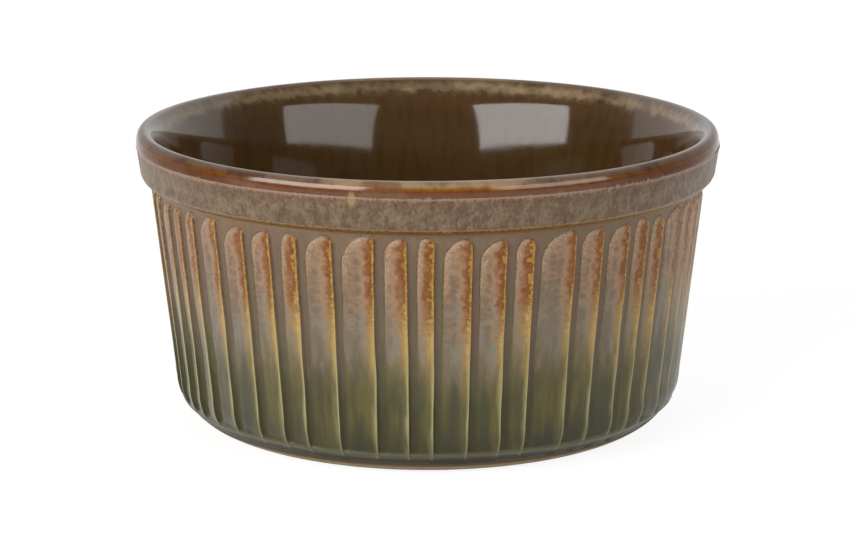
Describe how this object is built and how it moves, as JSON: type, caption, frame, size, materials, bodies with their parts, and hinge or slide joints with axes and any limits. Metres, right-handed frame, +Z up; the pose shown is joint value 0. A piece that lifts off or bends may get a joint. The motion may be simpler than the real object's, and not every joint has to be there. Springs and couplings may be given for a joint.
{
  "type": "creme brulee dish",
  "caption": "Round fluted stoneware ramekin with a thick collar, a glossy brown inside and brown and green glaze outside, for baking and serving a single dessert.",
  "frame": {"origin": "centre of the foot, on the surface that the dish stands on", "axes": "+Z up along the dish's axis of revolution, -Y towards the pictured side, +X to its right"},
  "size_m": [0.09, 0.09, 0.0455],
  "materials": {
    "clay": "bare fired stoneware, matte",
    "liner_glaze": "glossy dark brown glaze, thinner and rust brown over the lip",
    "brown_glaze": "satin taupe reactive glaze that breaks rust and ochre over the ridges",
    "green_glaze": "glossy olive green glaze that breaks pale over the ridges"
  },
  "bodies": {
    "root": {"stoneware_body": "clay", "liner_glaze": "liner_glaze", "brown_glaze": "brown_glaze", "green_glaze": "green_glaze"}
  },
  "joints": []
}
